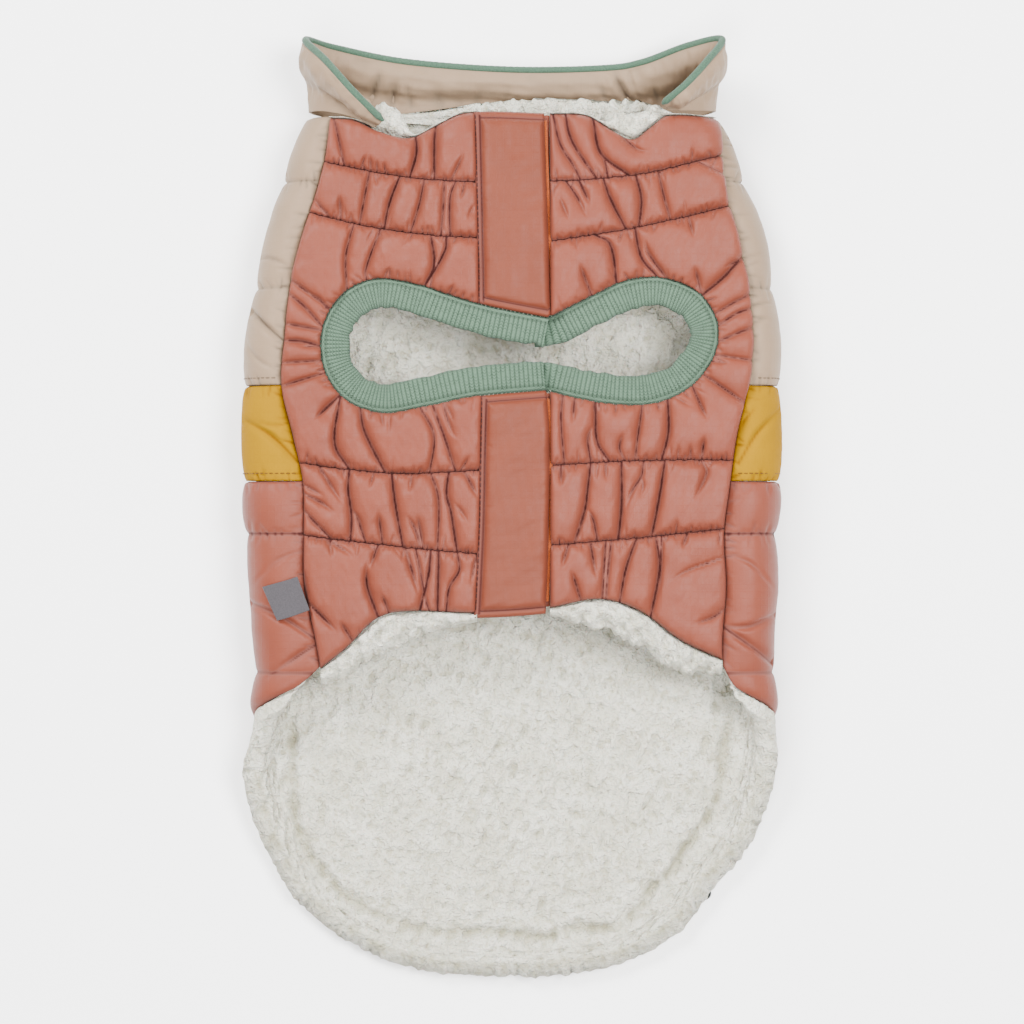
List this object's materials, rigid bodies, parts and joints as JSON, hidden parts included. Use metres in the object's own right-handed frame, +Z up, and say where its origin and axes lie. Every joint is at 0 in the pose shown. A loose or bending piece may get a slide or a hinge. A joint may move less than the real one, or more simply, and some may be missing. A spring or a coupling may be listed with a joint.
{
  "type": "dog winter coat",
  "caption": "Quilted dog coat with a fleece lining, laid flat on its back: gathered belly, ribbed leg opening, lapped closure and piped stand collar.",
  "frame": {"origin": "middle of the overall box, on the plane that the coat's back rests on", "axes": "+Y towards the neck, +X to the right seen from above, +Z up out of the belly"},
  "size_m": [0.2434, 0.4236, 0.0484],
  "materials": {
    "sand_cloth": "smooth quilted cloth with a slight sheen",
    "mustard_cloth": "smooth quilted cloth with a slight sheen",
    "rose_cloth": "smooth quilted cloth with a slight sheen",
    "fleece": "curly pile, matte",
    "sage_knit": "ribbed knit, matte",
    "rust_tape": "looped closing tape",
    "grey_label": "woven label",
    "black_plastic": "matte"
  },
  "bodies": {
    "root": {"back_yoke": "sand_cloth", "back_band": "mustard_cloth", "back_body": "rose_cloth", "lining_back": "fleece", "belly_left": "rose_cloth", "belly_right": "rose_cloth", "lining_belly_left": "fleece", "lining_belly_right": "fleece", "rib_left": "sage_knit", "rib_right": "sage_knit", "underlap_chest": "rose_cloth", "underlap_tummy": "rose_cloth", "tape_chest": "rust_tape", "tape_tummy": "rust_tape", "flap_chest": "rose_cloth", "flap_tummy": "rose_cloth", "collar": "sand_cloth", "collar_piping": "sage_knit", "side_label": "grey_label", "hem_stopper": "black_plastic"}
  },
  "joints": []
}
